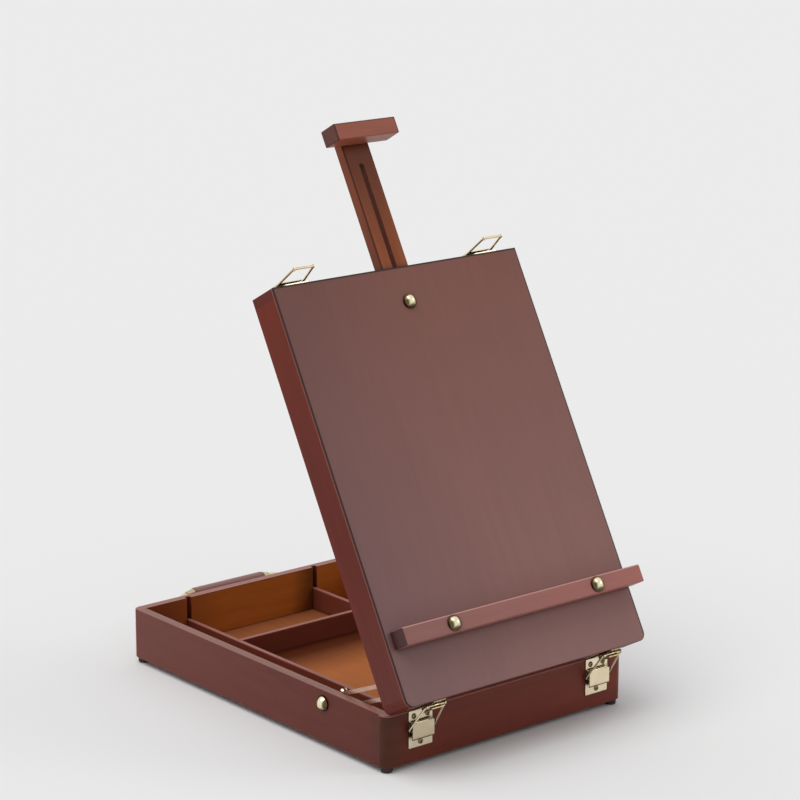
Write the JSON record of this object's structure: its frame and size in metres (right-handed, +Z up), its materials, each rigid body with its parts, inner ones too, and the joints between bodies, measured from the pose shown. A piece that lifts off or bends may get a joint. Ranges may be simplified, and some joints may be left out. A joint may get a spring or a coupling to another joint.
{
  "type": "pochade box",
  "caption": "Table-top sketch-box easel: a shallow wooden paint box whose hinged lid tilts up as a painting board, with a ledge, a sliding mast, dividers, latches and a handle.",
  "frame": {"origin": "middle of the box's footprint, at the underside of the feet, on the surface it stands on", "axes": "+Z up; +X to the right seen from the front; +Y to the back, so the lid opens and leans back towards +Y"},
  "size_m": [0.2812, 0.4376, 0.5089],
  "materials": {
    "walnut_frame": "satin lacquer over walnut stain",
    "walnut_board": "satin lacquer over walnut stain",
    "red_ledge": "satin lacquer over red-brown stain",
    "divider_wood": "satin stain",
    "plywood": "matt oiled plywood",
    "brass": "polished, pale gold plating",
    "steel_screw": "plated screw heads",
    "rubber_foot": "matt dark rubber",
    "grip_leather": "dark red-brown wrapped grip"
  },
  "bodies": {
    "box": {"front_wall": "walnut_frame", "back_wall": "walnut_frame", "left_wall": "walnut_frame", "right_wall": "walnut_frame", "bottom_panel": "plywood", "feet": "rubber_foot", "left_front_latch_base": "brass", "right_front_latch_base": "brass", "front_latch_pins": "brass", "front_latch_screws": "steel_screw", "back_catches": "brass", "back_catch_screws": "steel_screw", "handle_brackets": "brass", "handle_screws": "steel_screw", "left_stay_bolt": "brass", "right_stay_bolt": "brass", "stay_washers": "brass"},
    "lid": {"lid_board": "walnut_board", "lid_left_rail": "walnut_frame", "lid_right_rail": "walnut_frame", "lid_top_rail": "walnut_frame", "lid_bottom_rail": "walnut_frame", "ledge": "red_ledge", "ledge_bolts": "brass", "lid_washers": "brass", "mast_bolt": "brass", "left_stay_rivet": "brass", "right_stay_rivet": "brass", "lid_catches": "brass", "lid_catch_screws": "steel_screw", "left_lid_latch_base": "brass", "right_lid_latch_base": "brass", "lid_latch_pins": "brass", "lid_latch_screws": "steel_screw"},
    "mast": {"mast_bar": "walnut_frame", "mast_block": "walnut_frame", "mast_screws": "steel_screw"},
    "mast_nut": {"mast_nut": "brass"},
    "left_ledge_nut": {"left_ledge_nut": "brass"},
    "right_ledge_nut": {"right_ledge_nut": "brass"},
    "left_stay": {"left_stay": "brass"},
    "right_stay": {"right_stay": "brass"},
    "left_stay_nut": {"left_stay_nut": "brass"},
    "right_stay_nut": {"right_stay_nut": "brass"},
    "left_front_lever": {"left_front_lever": "brass"},
    "right_front_lever": {"right_front_lever": "brass"},
    "left_front_loop": {"left_front_loop": "brass"},
    "right_front_loop": {"right_front_loop": "brass"},
    "left_lid_lever": {"left_lid_lever": "brass"},
    "right_lid_lever": {"right_lid_lever": "brass"},
    "left_lid_loop": {"left_lid_loop": "brass"},
    "right_lid_loop": {"right_lid_loop": "brass"},
    "long_divider": {"long_divider": "divider_wood"},
    "cross_divider": {"cross_divider": "divider_wood"},
    "short_divider": {"short_divider": "divider_wood"},
    "handle": {"handle_bail": "brass", "handle_grip": "grip_leather", "handle_ferrules": "brass"}
  },
  "joints": [
    {"name": "lid_hinge", "type": "hinge", "parent": "box", "child": "lid", "pos_m": [0, -0.183, 0.05165], "axis": [1, 0, 0], "range_deg": [-61, 0]},
    {"name": "left_stay_pivot", "type": "hinge", "parent": "lid", "child": "left_stay", "pos_m": [-0.125, -0.18705, 0.07528], "axis": [1, 0, 0], "range_deg": [0, 60.5]},
    {"name": "right_stay_pivot", "type": "hinge", "parent": "lid", "child": "right_stay", "pos_m": [0.125, -0.18705, 0.07528], "axis": [1, 0, 0], "range_deg": [0, 60.5]},
    {"name": "left_stay_nut_turn", "type": "hinge", "parent": "box", "child": "left_stay_nut", "pos_m": [-0.12, -0.1, 0.04], "axis": [1, 0, 0], "continuous": true},
    {"name": "right_stay_nut_turn", "type": "hinge", "parent": "box", "child": "right_stay_nut", "pos_m": [0.12, -0.1, 0.04], "axis": [1, 0, 0], "continuous": true},
    {"name": "mast_slide", "type": "slide", "parent": "lid", "child": "mast", "axis": [0, 0.4848, 0.8746], "range_m": [-0.1135, 0.135]},
    {"name": "mast_nut_turn", "type": "hinge", "parent": "lid", "child": "mast_nut", "pos_m": [0, -0.03419, 0.35104], "axis": [0, -0.8746, 0.4848], "continuous": true},
    {"name": "left_ledge_nut_turn", "type": "hinge", "parent": "lid", "child": "left_ledge_nut", "pos_m": [-0.077, -0.17784, 0.11253], "axis": [0, -0.8746, 0.4848], "continuous": true},
    {"name": "right_ledge_nut_turn", "type": "hinge", "parent": "lid", "child": "right_ledge_nut", "pos_m": [0.085, -0.17784, 0.11253], "axis": [0, -0.8746, 0.4848], "continuous": true},
    {"name": "left_front_lever_pivot", "type": "hinge", "parent": "box", "child": "left_front_lever", "pos_m": [-0.0982, -0.1858, 0.0401], "axis": [1, 0, 0], "range_deg": [-95, 0]},
    {"name": "left_front_loop_pivot", "type": "hinge", "parent": "box", "child": "left_front_loop", "pos_m": [-0.0982, -0.1851, 0.0341], "axis": [1, 0, 0], "range_deg": [-34.6, 0]},
    {"name": "left_lid_lever_pivot", "type": "hinge", "parent": "lid", "child": "left_lid_lever", "pos_m": [-0.1085, -0.01417, 0.37974], "axis": [1, 0, 0], "range_deg": [-95, 0]},
    {"name": "left_lid_loop_pivot", "type": "hinge", "parent": "lid", "child": "left_lid_loop", "pos_m": [-0.1085, -0.01976, 0.38203], "axis": [1, 0, 0], "range_deg": [-167, 13]},
    {"name": "right_front_lever_pivot", "type": "hinge", "parent": "box", "child": "right_front_lever", "pos_m": [0.1028, -0.1858, 0.0401], "axis": [1, 0, 0], "range_deg": [-95, 0]},
    {"name": "right_front_loop_pivot", "type": "hinge", "parent": "box", "child": "right_front_loop", "pos_m": [0.1028, -0.1851, 0.0341], "axis": [1, 0, 0], "range_deg": [-34.6, 0]},
    {"name": "right_lid_lever_pivot", "type": "hinge", "parent": "lid", "child": "right_lid_lever", "pos_m": [0.1015, -0.01417, 0.37974], "axis": [1, 0, 0], "range_deg": [-95, 0]},
    {"name": "right_lid_loop_pivot", "type": "hinge", "parent": "lid", "child": "right_lid_loop", "pos_m": [0.1015, -0.01976, 0.38203], "axis": [1, 0, 0], "range_deg": [-167, 13]},
    {"name": "long_divider_lift", "type": "slide", "parent": "box", "child": "long_divider", "axis": [0, 0, 1], "range_m": [0, 0.042]},
    {"name": "cross_divider_lift", "type": "slide", "parent": "box", "child": "cross_divider", "axis": [0, 0, 1], "range_m": [0, 0.042]},
    {"name": "short_divider_lift", "type": "slide", "parent": "box", "child": "short_divider", "axis": [0, 0, 1], "range_m": [0, 0.042]},
    {"name": "handle_pivot", "type": "hinge", "parent": "box", "child": "handle", "pos_m": [0, 0.19, 0.0355], "axis": [1, 0, 0], "range_deg": [-75, 80]}
  ],
  "couplings": [
    {"joint": "left_stay_pivot", "follows": "lid_hinge", "ratio": -0.988},
    {"joint": "right_stay_pivot", "follows": "lid_hinge", "ratio": -0.988},
    {"joint": "left_front_loop_pivot", "follows": "lid_hinge", "ratio": 0.5656},
    {"joint": "right_front_loop_pivot", "follows": "lid_hinge", "ratio": 0.5656}
  ]
}
